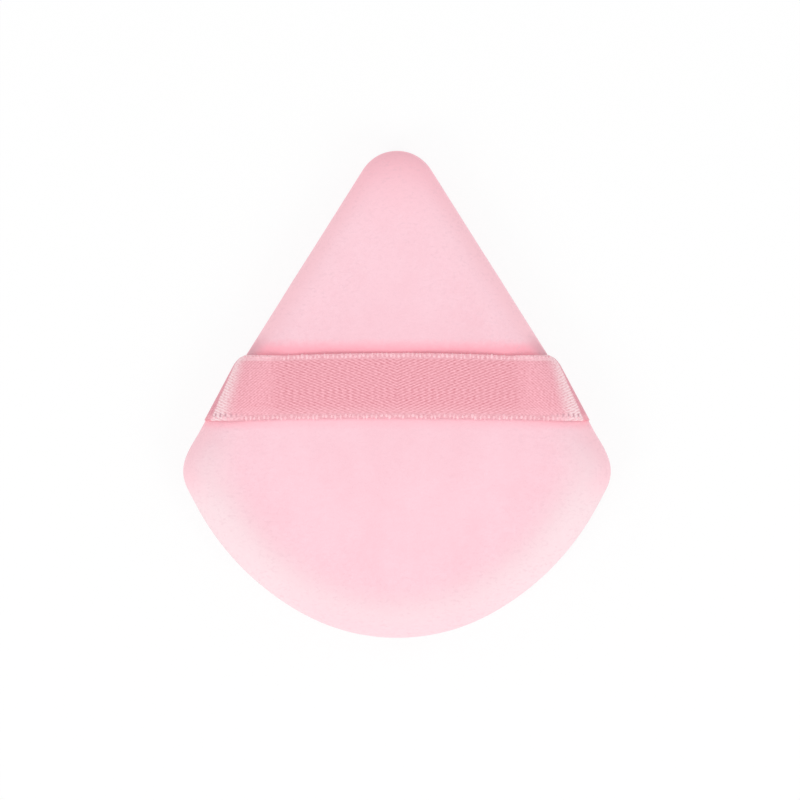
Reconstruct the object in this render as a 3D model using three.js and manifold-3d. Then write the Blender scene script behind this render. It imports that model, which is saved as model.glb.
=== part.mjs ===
// A powder puff: a rounded wedge of foam in a sewn velour cover, with a satin finger strap over its back.
// Millimetres, +Z up. The puff lies on its working face and its tip points along +Y.
// The origin is under the middle of its box.

import * as THREE from 'three';
import Module from 'manifold-3d';

// Outline of the puff, seen from above
const PUFF_LENGTH = 80;
const TIP_RADIUS = 6.6;
const SIDE_ANGLE = 32.2; // degrees between each straight side and the length
const CORNER_RADIUS = 8.4;
const FLANK_RADIUS = 43.3;
const BOTTOM_RADIUS = 32.2;
const BOTTOM_HALF_ARC = 28.7; // degrees of the bottom arc on each side of its middle

// Section of the cover
const VELOUR = 1.2;
const SEAM_HEIGHT = 5;
const BACK_RISE = 4.6;
const CROWN = 1;
const EDGE_ROLL = 6; // how far in from the rim the roll of the edge reaches
const SEAM_ALLOWANCE = 2.5; // from the stitch line to the cut edge turned in

// Ribbon
const RIBBON_WIDTH = 11.1;
const RIBBON_THICKNESS = 0.35;
const RIBBON_MIDDLE = 1.15; // along the length
const STRAP_GAP = 0.5; // between the back and the strap that lies over it

// Stitching
const THREAD = 0.3;
const STITCH_PITCH = 4;
const CLOSING_PITCH = 3;
const CLOSING_GAP = 30; // turning gap, along the stitch line at the bottom

// Fits
const SEAM_GAP = 0.3;
const CORE_CLEARANCE = 0.3;
const THREAD_CLEARANCE = 0.3;
const NEEDLE_HOLE_CLEARANCE = 0.2;
const TAIL_CLEARANCE = 0.3;

// Fineness of the round forms
const CHORD_ERROR = 0.08;
const SEAM_CHORD_ERROR = 0.005;
const ROLL_STEPS = 5;
const CROWN_STEPS = 3;
const SPAN_STEPS = 5;
const RIBBON_ROWS = 3;
const LEAST_STEP = 0.2;

const wasm = await Module();
wasm.setup();

const quarterTurn = Math.PI / 2;
const sideAngle = THREE.MathUtils.degToRad(SIDE_ANGLE);
const bottomAngle = THREE.MathUtils.degToRad(BOTTOM_HALF_ARC);

const backFace = SEAM_HEIGHT + SEAM_GAP / 2;
const frontFace = SEAM_HEIGHT - SEAM_GAP / 2;
const frontRise = frontFace; // the working face lies at height 0

// The outline is a chain of tangent arcs about this hub, the middle of the bottom arc.
const hub = new THREE.Vector2(0, BOTTOM_RADIUS - PUFF_LENGTH / 2);
const tipCentre = new THREE.Vector2(0, PUFF_LENGTH / 2 - TIP_RADIUS);
const sideNormal = new THREE.Vector2(Math.cos(sideAngle), Math.sin(sideAngle));
const sideDirection = new THREE.Vector2(Math.sin(sideAngle), -Math.cos(sideAngle));
const sideReach = tipCentre.clone().sub(hub).dot(sideNormal) + TIP_RADIUS; // from the hub square to a side

const bottomEnd = new THREE.Vector2(Math.sin(bottomAngle), -Math.cos(bottomAngle));
const flankCentre = hub.clone().addScaledVector(bottomEnd, BOTTOM_RADIUS - FLANK_RADIUS);
const cornerCentre = findCornerCentre();
const flankTop = cornerCentre.clone().sub(flankCentre);
const flankAngle = Math.atan2(flankTop.y, flankTop.x);

// Centre of the arc that touches both the straight side and the flank.
function findCornerCentre() {
  const start = tipCentre.clone().addScaledVector(sideNormal, TIP_RADIUS - CORNER_RADIUS);
  const apart = start.clone().sub(flankCentre);
  const along = apart.dot(sideDirection);
  const reach = FLANK_RADIUS - CORNER_RADIUS;
  const travel = Math.sqrt(along * along - apart.lengthSq() + reach * reach) - along;
  return start.addScaledVector(sideDirection, travel);
}

// Points of the outline, counter-clockwise from the middle of the bottom.
function outlinePoints(chordError) {
  const cornerLeft = new THREE.Vector2(-cornerCentre.x, cornerCentre.y);
  const flankLeft = new THREE.Vector2(-flankCentre.x, flankCentre.y);
  const down = 3 * quarterTurn;
  const arcs = [
    { centre: hub, radius: BOTTOM_RADIUS, from: -quarterTurn, to: bottomAngle - quarterTurn },
    { centre: flankCentre, radius: FLANK_RADIUS, from: bottomAngle - quarterTurn, to: flankAngle },
    { centre: cornerCentre, radius: CORNER_RADIUS, from: flankAngle, to: sideAngle },
    { centre: tipCentre, radius: TIP_RADIUS, from: sideAngle, to: Math.PI - sideAngle },
    { centre: cornerLeft, radius: CORNER_RADIUS, from: Math.PI - sideAngle, to: Math.PI - flankAngle },
    { centre: flankLeft, radius: FLANK_RADIUS, from: Math.PI - flankAngle, to: down - bottomAngle },
    { centre: hub, radius: BOTTOM_RADIUS, from: down - bottomAngle, to: down },
  ];
  const points = [];
  for (const arc of arcs) {
    const widest = 2 * Math.acos(1 - chordError / arc.radius);
    const steps = 2 * Math.ceil((arc.to - arc.from) / widest / 2); // even, so that the tip has a point
    for (let step = 0; step <= steps; step += 1) {
      const angle = arc.from + ((arc.to - arc.from) * step) / steps;
      const x = arc.centre.x + arc.radius * Math.cos(angle);
      const y = arc.centre.y + arc.radius * Math.sin(angle);
      const point = new THREE.Vector2(x, y);
      const last = points.at(-1);
      if (!last || last.distanceTo(point) > chordError / 2) points.push(point);
    }
  }
  points.pop(); // the last point closes on the first
  return points;
}

const outline = outlinePoints(CHORD_ERROR);

// A copy of the outline drawn in towards the hub. The inset is measured square to a straight side.
function outlineRing(inset, z) {
  if (inset > sideReach - LEAST_STEP) return [new THREE.Vector3(hub.x, hub.y, z)];
  const scale = 1 - inset / sideReach;
  return outline.map((point) => {
    const place = hub.clone().lerp(point, scale);
    return new THREE.Vector3(place.x, place.y, z);
  });
}

// A closed skin over rings of points. The first and last ring are a single point each.
function loft(rings) {
  const positions = [];
  const indices = [];
  const starts = [];
  for (const ring of rings) {
    starts.push(positions.length / 3);
    for (const point of ring) positions.push(point.x, point.y, point.z);
  }
  for (let level = 0; level + 1 < rings.length; level += 1) {
    const lower = rings[level].length;
    const upper = rings[level + 1].length;
    const count = Math.max(lower, upper);
    for (let here = 0; here < count; here += 1) {
      const next = (here + 1) % count;
      const lowerHere = starts[level] + (here % lower);
      const lowerNext = starts[level] + (next % lower);
      const upperHere = starts[level + 1] + (here % upper);
      const upperNext = starts[level + 1] + (next % upper);
      if (lower > 1) indices.push(lowerHere, lowerNext, upperNext);
      if (upper > 1) indices.push(lowerHere, upperNext, upperHere);
    }
  }
  const geometry = new THREE.BufferGeometry();
  geometry.setAttribute('position', new THREE.Float32BufferAttribute(positions, 3));
  geometry.setIndex(indices);
  return geometry;
}

// The middle of a ring, as the point that closes a loft's end.
function endPoint(ring) {
  const middle = new THREE.Vector3();
  for (const point of ring) middle.addScaledVector(point, 1 / ring.length);
  return [middle];
}

function closedLoft(rings) {
  return loft([endPoint(rings[0]), ...rings, endPoint(rings.at(-1))]);
}

function toSolid(geometry) {
  const vertProperties = geometry.getAttribute('position').array;
  const triVerts = new Uint32Array(geometry.getIndex().array);
  return new wasm.Manifold(new wasm.Mesh({ numProp: 3, vertProperties, triVerts }));
}

function toGeometry(solid) {
  const mesh = solid.getMesh();
  const geometry = new THREE.BufferGeometry();
  geometry.setAttribute('position', new THREE.Float32BufferAttribute(mesh.vertProperties, 3));
  geometry.setIndex(Array.from(mesh.triVerts));
  return geometry;
}

function cut(geometry, cutters) {
  let solid = toSolid(geometry);
  for (const cutter of cutters) solid = solid.subtract(toSolid(cutter));
  return toGeometry(solid);
}

// Height of a cover's surface over its seam face: a rolled edge, then a gentle crown.
// The surface may stand out from the cover's own outside, or lie in from it.
function swell(inset, rise, crown, out) {
  if (inset < EDGE_ROLL) {
    const across = (EDGE_ROLL - inset) / (EDGE_ROLL + out);
    return (rise + out) * Math.sqrt(Math.max(0, 1 - across * across));
  }
  const inward = (inset - EDGE_ROLL) / (sideReach - EDGE_ROLL);
  return rise + out + crown * Math.sin(inward * quarterTurn) ** 2;
}

// Inset at which the rolled edge of a surface reaches a height.
function rollInset(height, rise, out) {
  const share = height / (rise + out);
  return EDGE_ROLL - (EDGE_ROLL + out) * Math.sqrt(1 - share * share);
}

// Pairs of inset and height along a surface, from a starting inset to the hub.
function swellSection(rise, crown, out, start) {
  const insets = [start];
  for (let step = 1; step <= ROLL_STEPS; step += 1) {
    insets.push(EDGE_ROLL - (EDGE_ROLL + out) * Math.cos((quarterTurn * step) / ROLL_STEPS));
  }
  const crownSteps = crown > 0 ? CROWN_STEPS : 1;
  for (let step = 1; step <= crownSteps; step += 1) {
    insets.push(EDGE_ROLL + ((sideReach - EDGE_ROLL) * step) / crownSteps);
  }
  const kept = insets.filter((inset, order) => order === 0 || inset > start + LEAST_STEP);
  return kept.map((inset) => [inset, swell(inset, rise, crown, out)]);
}

// The stitch line runs on the turned-in edges, clear of the cover's wall.
const threadTop = VELOUR + THREAD_CLEARANCE + THREAD;
const wallAtThread = rollInset(threadTop, Math.min(BACK_RISE, frontRise), -VELOUR);
const stitchInset = wallAtThread + THREAD_CLEARANCE + THREAD / 2;
const allowanceEdge = stitchInset + SEAM_ALLOWANCE;
const coreEdge = allowanceEdge + CORE_CLEARANCE;

// Section of a cover panel as pairs of inset and height over its seam face, from its inside to its outside.
function panelSection(rise, crown) {
  const inside = swellSection(rise, crown, -VELOUR, rollInset(VELOUR, rise, -VELOUR));
  const turnedEdge = [[allowanceEdge, VELOUR], [allowanceEdge, 0]];
  return [...inside.reverse(), ...turnedEdge, ...swellSection(rise, crown, 0, 0)];
}

function backPanel() {
  const section = panelSection(BACK_RISE, CROWN);
  return loft(section.map(([inset, height]) => outlineRing(inset, backFace + height)));
}

function frontPanel() {
  const section = panelSection(frontRise, 0).reverse();
  return loft(section.map(([inset, height]) => outlineRing(inset, frontFace - height)));
}

// The foam fills the cover inside the turned-in edges.
function spongeCore() {
  const inwards = -VELOUR - CORE_CLEARANCE;
  const below = swellSection(frontRise, 0, inwards, coreEdge).reverse();
  const above = swellSection(BACK_RISE, CROWN, inwards, coreEdge);
  const lower = below.map(([inset, height]) => outlineRing(inset, frontFace - height));
  const upper = above.map(([inset, height]) => outlineRing(inset, backFace + height));
  return loft([...lower, ...upper]);
}

// Distance from the middle line to the place with this inset on the straight side, at one row of the ribbon.
function sideX(inset, y) {
  return (sideReach - inset - sideNormal.y * (y - hub.y)) / sideNormal.x;
}

function ribbonRowsBetween(low, high) {
  const rows = [];
  for (let row = 0; row < RIBBON_ROWS; row += 1) rows.push(low + ((high - low) * row) / (RIBBON_ROWS - 1));
  return rows;
}

const ribbonLow = RIBBON_MIDDLE - RIBBON_WIDTH / 2;
const ribbonHigh = RIBBON_MIDDLE + RIBBON_WIDTH / 2;
const ribbonRows = ribbonRowsBetween(ribbonLow, ribbonHigh);
const ribbonOut = STRAP_GAP + RIBBON_THICKNESS;
const strapFoot = RIBBON_THICKNESS / 2 + TAIL_CLEARANCE - SEAM_GAP / 2; // above the back's seam face

// One line along the strap, from its left foot over the back to its right foot.
// Between the shoulders it is a shallow arch over the crown.
function strapLine(y, out) {
  const half = [];
  const foot = Math.asin(strapFoot / (BACK_RISE + out));
  for (let step = 0; step <= ROLL_STEPS; step += 1) {
    const angle = foot + ((quarterTurn - foot) * step) / ROLL_STEPS;
    const inset = EDGE_ROLL - (EDGE_ROLL + out) * Math.cos(angle);
    half.push(new THREE.Vector3(sideX(inset, y), y, backFace + (BACK_RISE + out) * Math.sin(angle)));
  }
  const shoulder = sideX(EDGE_ROLL, y);
  for (let step = 1; step <= SPAN_STEPS; step += 1) {
    const share = 1 - step / SPAN_STEPS;
    const height = BACK_RISE + out + CROWN * (1 - share * share);
    half.push(new THREE.Vector3(shoulder * share, y, backFace + height));
  }
  const left = half.map((point) => new THREE.Vector3(-point.x, point.y, point.z));
  return [...left, ...half.reverse().slice(1)];
}

function ribbonStrap() {
  const under = ribbonRows.map((y) => strapLine(y, STRAP_GAP));
  const over = ribbonRows.map((y) => strapLine(y, ribbonOut)).reverse();
  const lines = [...under, ...over];
  return closedLoft(lines[0].map((_, station) => lines.map((line) => line[station])));
}

// Plan of a sewn ribbon end: out past the rim, on the rim, and folded in along the seam to the cut edge.
// Folding over the slanted side turns the ribbon as a mirror would.
function tailPlan(outside, inside, grow) {
  const folded = new THREE.Vector2(-Math.cos(2 * sideAngle), -Math.sin(2 * sideAngle));
  const step = grow / sideNormal.x;
  return [ribbonLow - step, ribbonHigh + step].map((y) => {
    const rim = new THREE.Vector2(sideX(0, y), y);
    const end = rim.clone().addScaledVector(folded, inside / sideNormal.x);
    return [new THREE.Vector2(sideX(-outside, y), y), rim, end];
  });
}

// A slab over a tail's plan, on the right (1) or the left (-1) side.
function tailSlab(hand, outside, inside, grow, halfThickness) {
  const [low, high] = tailPlan(outside, inside, grow);
  const rings = low.map((lowPoint, station) => {
    const highPoint = high[station];
    const bottom = SEAM_HEIGHT - halfThickness;
    const top = SEAM_HEIGHT + halfThickness;
    return [
      new THREE.Vector3(hand * lowPoint.x, lowPoint.y, bottom),
      new THREE.Vector3(hand * highPoint.x, highPoint.y, bottom),
      new THREE.Vector3(hand * highPoint.x, highPoint.y, top),
      new THREE.Vector3(hand * lowPoint.x, lowPoint.y, top),
    ];
  });
  return closedLoft(hand > 0 ? rings.reverse() : rings);
}

function ribbonTail(hand) {
  return tailSlab(hand, ribbonOut, allowanceEdge, 0, RIBBON_THICKNESS / 2);
}

// Room for a tail between the turned-in edges.
function tailPocket(hand) {
  const beyond = EDGE_ROLL;
  return tailSlab(hand, beyond, coreEdge, TAIL_CLEARANCE, RIBBON_THICKNESS / 2 + TAIL_CLEARANCE);
}

// The stitch line as a path that starts at the middle of the bottom.
function stitchPath() {
  const scale = 1 - stitchInset / sideReach;
  const places = outlinePoints(SEAM_CHORD_ERROR).map((point) => hub.clone().lerp(point, scale));
  const path = new THREE.CurvePath();
  places.forEach((place, order) => {
    path.add(new THREE.LineCurve(place, places[(order + 1) % places.length]));
  });
  return path;
}

const seam = stitchPath();
const seamLength = seam.getLength();

function seamPoint(distance, z) {
  const place = seam.getPointAt(THREE.MathUtils.euclideanModulo(distance, seamLength) / seamLength);
  return new THREE.Vector3(place.x, place.y, z);
}

// Stations of the lockstitch, from one end of the turning gap round the tip to the other.
const seamStart = CLOSING_GAP / 2;
const seamEnd = seamLength - seamStart;
const stitches = Math.floor((seamEnd - seamStart) / STITCH_PITCH);
const stitchLength = (seamEnd - seamStart) / stitches;
const lockPlaces = Array.from({ length: stitches }, (_, order) => seamStart + stitchLength * (order + 0.5));

// Stations of the closing stitches across the turning gap.
const closingSteps = Math.floor((CLOSING_GAP - CLOSING_PITCH) / CLOSING_PITCH);
const closingPlaces = Array.from(
  { length: closingSteps + 1 },
  (_, order) => (order - closingSteps / 2) * CLOSING_PITCH,
);

const loopReach = (THREAD + THREAD_CLEARANCE) / 2; // from the middle of a stitch to each leg of its loop
const overBack = backFace + VELOUR + THREAD_CLEARANCE + THREAD / 2;
const underFront = frontFace - VELOUR - THREAD_CLEARANCE - THREAD / 2;
const lockLift = (THREAD + THREAD_CLEARANCE) / 2; // each thread's loop stops this far from the seam plane

// A square thread along a line of points, mitred at its turns.
function threadAlong(points) {
  const rings = points.map((point, order) => {
    const before = points[Math.max(order - 1, 0)];
    const after = points[Math.min(order + 1, points.length - 1)];
    const arriving = point.clone().sub(before).normalize();
    const leaving = after.clone().sub(point).normalize();
    const along = arriving.clone().add(leaving).normalize();
    const left = new THREE.Vector3(-along.y, along.x, 0).normalize();
    const over = along.clone().cross(left);
    const straightness = Math.max(arriving.dot(along), leaving.dot(along));
    left.multiplyScalar(THREAD / 2);
    over.multiplyScalar(THREAD / 2 / straightness);
    return [
      point.clone().sub(left).sub(over),
      point.clone().add(left).sub(over),
      point.clone().add(left).add(over),
      point.clone().sub(left).add(over),
    ];
  });
  return closedLoft(rings);
}

// One thread of the lockstitch: it lies along the turned-in edge and dips to the seam plane at each stitch.
function lockstitchThread(runHeight, loopHeight) {
  const points = [seamPoint(seamStart, runHeight)];
  for (const place of lockPlaces) {
    points.push(seamPoint(place - loopReach, runHeight));
    points.push(seamPoint(place - loopReach, loopHeight));
    points.push(seamPoint(place + loopReach, loopHeight));
    points.push(seamPoint(place + loopReach, runHeight));
  }
  points.push(seamPoint(seamEnd, runHeight));
  return threadAlong(points);
}

// The closing thread runs through both turned-in edges and changes sides at each hole.
function closingThread() {
  const points = [seamPoint(closingPlaces[0] - CLOSING_PITCH / 2, overBack)];
  closingPlaces.forEach((place, order) => {
    const sides = order % 2 === 0 ? [overBack, underFront] : [underFront, overBack];
    for (const height of sides) points.push(seamPoint(place, height));
  });
  const lastHeight = closingSteps % 2 === 0 ? underFront : overBack;
  points.push(seamPoint(closingPlaces.at(-1) + CLOSING_PITCH / 2, lastHeight));
  return threadAlong(points);
}

// A needle's hole through both turned-in edges, long enough for a loop's two legs.
function needleHole(place) {
  const halfLength = loopReach + THREAD / 2 + NEEDLE_HOLE_CLEARANCE;
  const halfWidth = THREAD / 2 + NEEDLE_HOLE_CLEARANCE;
  const bottom = frontFace - VELOUR - THREAD_CLEARANCE / 2;
  const top = backFace + VELOUR + THREAD_CLEARANCE / 2;
  const middle = seamPoint(place, 0);
  const along = seamPoint(place + halfLength, 0).sub(seamPoint(place - halfLength, 0)).setLength(halfLength);
  const left = new THREE.Vector3(-along.y, along.x, 0).setLength(halfWidth);
  const ringAt = (z) => [
    middle.clone().sub(along).sub(left).setZ(z),
    middle.clone().add(along).sub(left).setZ(z),
    middle.clone().add(along).add(left).setZ(z),
    middle.clone().sub(along).add(left).setZ(z),
  ];
  return closedLoft([ringAt(bottom), ringAt(top)]);
}

const needleHoles = [...lockPlaces, ...closingPlaces].map(needleHole);
const seamCuts = [...needleHoles, tailPocket(1), tailPocket(-1)];

const velourPink = { color: '#fccfd9', roughness: 0.95, metalness: 0 };
const satinPink = { color: '#f1a8b4', roughness: 0.45, metalness: 0 };
const foamWhite = { color: '#f6f0e8', roughness: 0.95, metalness: 0 };
const threadPink = { color: '#f3b3bf', roughness: 0.6, metalness: 0 };

const puff = new THREE.Group();

function addPiece(name, geometry, look) {
  geometry.computeVertexNormals();
  const piece = new THREE.Mesh(geometry, new THREE.MeshStandardMaterial(look));
  piece.name = name;
  puff.add(piece);
}

addPiece('front_velour', cut(frontPanel(), seamCuts), velourPink);
addPiece('back_velour', cut(backPanel(), seamCuts), velourPink);
addPiece('sponge_core', spongeCore(), foamWhite);
addPiece('needle_thread', lockstitchThread(overBack, SEAM_HEIGHT + lockLift), threadPink);
addPiece('bobbin_thread', lockstitchThread(underFront, SEAM_HEIGHT - lockLift), threadPink);
addPiece('closing_thread', closingThread(), threadPink);
addPiece('ribbon_tail_left', cut(ribbonTail(-1), needleHoles), satinPink);
addPiece('ribbon_tail_right', cut(ribbonTail(1), needleHoles), satinPink);
addPiece('ribbon_strap', ribbonStrap(), satinPink);

export default puff;
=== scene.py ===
import math

import bpy
import numpy as np
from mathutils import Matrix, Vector, noise
from mathutils.bvhtree import BVHTree


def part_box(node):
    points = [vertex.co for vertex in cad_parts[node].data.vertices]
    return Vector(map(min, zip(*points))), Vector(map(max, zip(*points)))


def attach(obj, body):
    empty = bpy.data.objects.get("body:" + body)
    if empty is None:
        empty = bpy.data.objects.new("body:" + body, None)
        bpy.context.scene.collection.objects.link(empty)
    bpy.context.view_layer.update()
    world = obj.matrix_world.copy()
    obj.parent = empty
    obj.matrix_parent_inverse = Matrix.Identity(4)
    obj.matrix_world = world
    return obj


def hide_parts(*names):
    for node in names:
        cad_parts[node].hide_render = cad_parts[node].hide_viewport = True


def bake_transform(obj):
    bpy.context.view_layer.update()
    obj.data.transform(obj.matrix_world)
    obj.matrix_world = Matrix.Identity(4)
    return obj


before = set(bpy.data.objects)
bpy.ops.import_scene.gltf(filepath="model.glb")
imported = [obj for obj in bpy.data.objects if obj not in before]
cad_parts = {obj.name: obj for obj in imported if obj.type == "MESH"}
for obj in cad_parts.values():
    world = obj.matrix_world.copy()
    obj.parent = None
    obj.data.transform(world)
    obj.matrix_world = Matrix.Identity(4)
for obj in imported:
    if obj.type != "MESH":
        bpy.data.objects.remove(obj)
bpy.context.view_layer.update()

# Velour cover: two wedge panels of brushed pink velour, cut alike and sewn face to face round the rim.
# Turned right side out and filled, each panel rolls over the edge of the foam and dips into the crease
# of the seam, and its raw edge lies inside as a narrow turning.
MM = 0.001
RIGHT_ANGLE = math.pi / 2
TIP_RADIUS = 6.6 * MM
SIDE_ANGLE = math.radians(32.2)
CORNER_RADIUS = 8.4 * MM
FLANK_RADIUS = 43.3 * MM
BOTTOM_RADIUS = 32.2 * MM
BOTTOM_HALF_ARC = math.radians(28.7)
ARC_POINTS = 90
EDGE_ROLL = 6 * MM
CROWN = 0.7 * MM
CREASE = 0.7 * MM
VELOUR_THICKNESS = 0.6 * MM
TURNING = (2.0 * MM, 3.4 * MM, 4.77 * MM)
SEAM_PARTING = 0.012 * MM

back_low, back_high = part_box("back_velour")
front_low, front_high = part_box("front_velour")
PUFF_LENGTH = back_high.y - back_low.y
SEAM_Z = (back_low.z + front_high.z) / 2
BACK_RISE = 4.6 * MM
FRONT_RISE = SEAM_Z - front_low.z

SIDE_NORMAL = np.array([math.cos(SIDE_ANGLE), math.sin(SIDE_ANGLE)])
SIDE_RUN = np.array([math.sin(SIDE_ANGLE), -math.cos(SIDE_ANGLE)])
HUB = np.array([0.0, BOTTOM_RADIUS - PUFF_LENGTH / 2])
TIP = np.array([0.0, PUFF_LENGTH / 2 - TIP_RADIUS])
REACH = SIDE_NORMAL @ (TIP - HUB) + TIP_RADIUS


def wedge_outline():
    """The rim as a closed line from the middle of the bottom, and each point's share of its length."""
    bottom_end = np.array([math.sin(BOTTOM_HALF_ARC), -math.cos(BOTTOM_HALF_ARC)])
    flank = HUB + (BOTTOM_RADIUS - FLANK_RADIUS) * bottom_end
    start = TIP + (TIP_RADIUS - CORNER_RADIUS) * SIDE_NORMAL
    apart = start - flank
    along = apart @ SIDE_RUN
    reach = FLANK_RADIUS - CORNER_RADIUS
    corner = start + (math.sqrt(along**2 - apart @ apart + reach**2) - along) * SIDE_RUN
    flank_end = math.atan2(corner[1] - flank[1], corner[0] - flank[0])
    bottom_turn = BOTTOM_HALF_ARC - RIGHT_ANGLE
    arcs = [
        (HUB, BOTTOM_RADIUS, -RIGHT_ANGLE, bottom_turn),
        (flank, FLANK_RADIUS, bottom_turn, flank_end),
        (corner, CORNER_RADIUS, flank_end, SIDE_ANGLE),
        (TIP, TIP_RADIUS, SIDE_ANGLE, RIGHT_ANGLE),
    ]
    right = []
    for centre, radius, first, last in arcs:
        turns = np.linspace(first, last, ARC_POINTS)
        right.append(centre + radius * np.stack([np.cos(turns), np.sin(turns)], axis=1))
    right = np.concatenate(right)
    loop = np.concatenate([right, right[::-1] * (-1, 1)])
    lengths = np.concatenate([[0], np.cumsum(np.linalg.norm(np.diff(loop, axis=0), axis=1))])
    return loop, lengths / lengths[-1]


OUTLINE, OUTLINE_SHARES = wedge_outline()


def rim_at(shares):
    """Points of the rim at shares of the way round it."""
    shares = np.asarray(shares) % 1
    return np.stack([np.interp(shares, OUTLINE_SHARES, OUTLINE[:, axis]) for axis in (0, 1)], axis=-1)


RIM_INSET = 0.1 * MM
RIBBON_PULL = 0.28 * MM
PULL_MIDDLE = -7.5 * MM
PULL_HALF_WIDTH = 5 * MM
CORNER_FILL = 0.15 * MM
FILL_MIDDLE = -13.5 * MM
FILL_HALF_WIDTH = 4.5 * MM


def swell(values, middle, half_width):
    """1 at the middle, falling smoothly to 0 at half the width from it."""
    return np.cos(np.clip((values - middle) / half_width, -1, 1) * RIGHT_ANGLE) ** 2


def drawn_in(shares, insets):
    """Points of the rim drawn in towards the hub by insets measured square to a straight side.

    The stuffed rim lies a little inside the cut line. The ribbon's ends pull the sides in, and the foam
    fills the corners below them.
    """
    rim = rim_at(shares)
    pulled = RIBBON_PULL * swell(rim[..., 1], PULL_MIDDLE, PULL_HALF_WIDTH)
    filled = CORNER_FILL * swell(rim[..., 1], FILL_MIDDLE, FILL_HALF_WIDTH)
    scales = 1 - (np.asarray(insets) + RIM_INSET + pulled - filled) / REACH
    return HUB + (rim - HUB) * scales[..., None]


# Each panel is a square net of threads drawn out to the wedge: ring after ring round the hub, with no pole.
FLAT_RINGS = 24
ROLL_RINGS = 13
CREASE_RINGS = 3
RINGS = FLAT_RINGS + ROLL_RINGS + CREASE_RINGS
net_side = np.arange(-RINGS, RINGS + 1)
net_x, net_y = np.meshgrid(net_side, net_side, indexing="ij")
net_ring = np.maximum(abs(net_x), abs(net_y)).ravel()


def net_shares():
    """How far round its ring each point of the net lies, from the middle of the bottom."""
    x, y = net_x.ravel(), net_y.ravel()
    upper = np.where(y == net_ring, 4 * net_ring - x, 6 * net_ring - y)
    place = np.where(y == -net_ring, x, np.where(x == net_ring, 2 * net_ring + y, upper))
    around = np.maximum(8 * net_ring, 1)
    return (place % around) / around


def panel_section(rise, crown):
    """Inset and height over the seam of each ring: crowned face, rolled edge and dip into the seam."""
    inward = np.linspace(1, 0, FLAT_RINGS + 1)
    roll = np.linspace(RIGHT_ANGLE, 0, ROLL_RINGS + 1)[1:]
    dip = np.linspace(0, RIGHT_ANGLE, CREASE_RINGS + 1)[1:]
    insets = [
        EDGE_ROLL + (REACH - EDGE_ROLL) * inward,
        EDGE_ROLL * (1 - np.cos(roll)),
        CREASE * (1 - np.cos(dip)),
    ]
    heights = [
        rise + crown * np.sin(inward * RIGHT_ANGLE) ** 2,
        CREASE + (rise - CREASE) * np.sin(roll),
        CREASE * (1 - np.sin(dip)),
    ]
    return np.concatenate(insets), np.concatenate(heights)


GATHERS = 60
GATHER_DRIFTS = (7, 11)
GATHER = 0.13 * MM
GATHER_REACH = 2.4 * MM


def panel_net(rise, crown, outward):
    """Points of a panel's outside, gathered a little at each stitch.

    Outward is 1 for the back panel and -1 for the front one.
    """
    insets, heights = panel_section(rise, crown)
    shares, heights = net_shares(), heights[net_ring]
    slow, fast = (shares * drift * math.tau for drift in GATHER_DRIFTS)
    wander = np.sin(slow) + np.sin(fast + outward)
    near_seam = np.clip(1 - heights / GATHER_REACH, 0, 1)
    gathered = GATHER * np.cos(shares * GATHERS * math.tau + wander) * near_seam
    plan = drawn_in(shares, insets[net_ring])
    return np.column_stack([plan, SEAM_Z + outward * (heights - gathered)])


net_ids = np.arange(len(net_ring)).reshape(net_x.shape)
net_faces = np.stack(
    [net_ids[:-1, :-1], net_ids[1:, :-1], net_ids[1:, 1:], net_ids[:-1, 1:]], axis=-1
).reshape(-1, 4)
border = np.flatnonzero(net_ring == RINGS)
border = border[np.argsort(net_shares()[border])]

# Stuffing: both nets are sewn along the border and blown up a little, as the foam fills the cover.
STUFFING_PRESSURE = 5
STUFFING_FRAMES = 20
MOST_SWELL = 0.9 * MM
EASING_ROUNDS = 60


def stuffed(points, faces, held):
    """How far a cloth simulation with pressure inside moves each point, MOST_SWELL at most."""
    mesh = bpy.data.meshes.new("cover_trial")
    mesh.from_pydata(points.tolist(), [], faces.tolist())
    trial = bpy.data.objects.new("cover_trial", mesh)
    bpy.context.scene.collection.objects.link(trial)
    trial.vertex_groups.new(name="seam").add(held.tolist(), 1.0, "REPLACE")
    cloth = trial.modifiers.new("stuffing", "CLOTH")
    cloth.settings.quality = 5
    cloth.settings.mass = 0.2
    cloth.settings.tension_stiffness = 12
    cloth.settings.compression_stiffness = 12
    cloth.settings.shear_stiffness = 6
    cloth.settings.bending_stiffness = 0.4
    cloth.settings.use_pressure = True
    cloth.settings.uniform_pressure_force = STUFFING_PRESSURE
    cloth.settings.vertex_group_mass = "seam"
    cloth.settings.effector_weights.gravity = 0
    cloth.collision_settings.use_collision = False
    cloth.point_cache.frame_start = 1
    cloth.point_cache.frame_end = STUFFING_FRAMES
    for step in range(1, STUFFING_FRAMES + 1):
        bpy.context.scene.frame_set(step)
    shape = trial.evaluated_get(bpy.context.evaluated_depsgraph_get())
    moved = np.empty(points.size, np.float32)
    shape.data.vertices.foreach_get("co", moved)
    bpy.context.scene.frame_set(1)
    bpy.data.objects.remove(trial)
    shift = moved.reshape(-1, 3) - points
    lengths = np.linalg.norm(shift, axis=1, keepdims=True)
    return shift * (MOST_SWELL / np.maximum(lengths, MOST_SWELL))


def eased(shift):
    """A panel's shift with its small creases eased out. The border stays put."""
    net = shift.reshape(*net_x.shape, 3).copy()
    for _ in range(EASING_ROUNDS):
        beside = net[:-2, 1:-1] + net[2:, 1:-1] + net[1:-1, :-2] + net[1:-1, 2:]
        net[1:-1, 1:-1] = (net[1:-1, 1:-1] + beside / 4) / 2
    return net.reshape(-1, 3)


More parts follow.
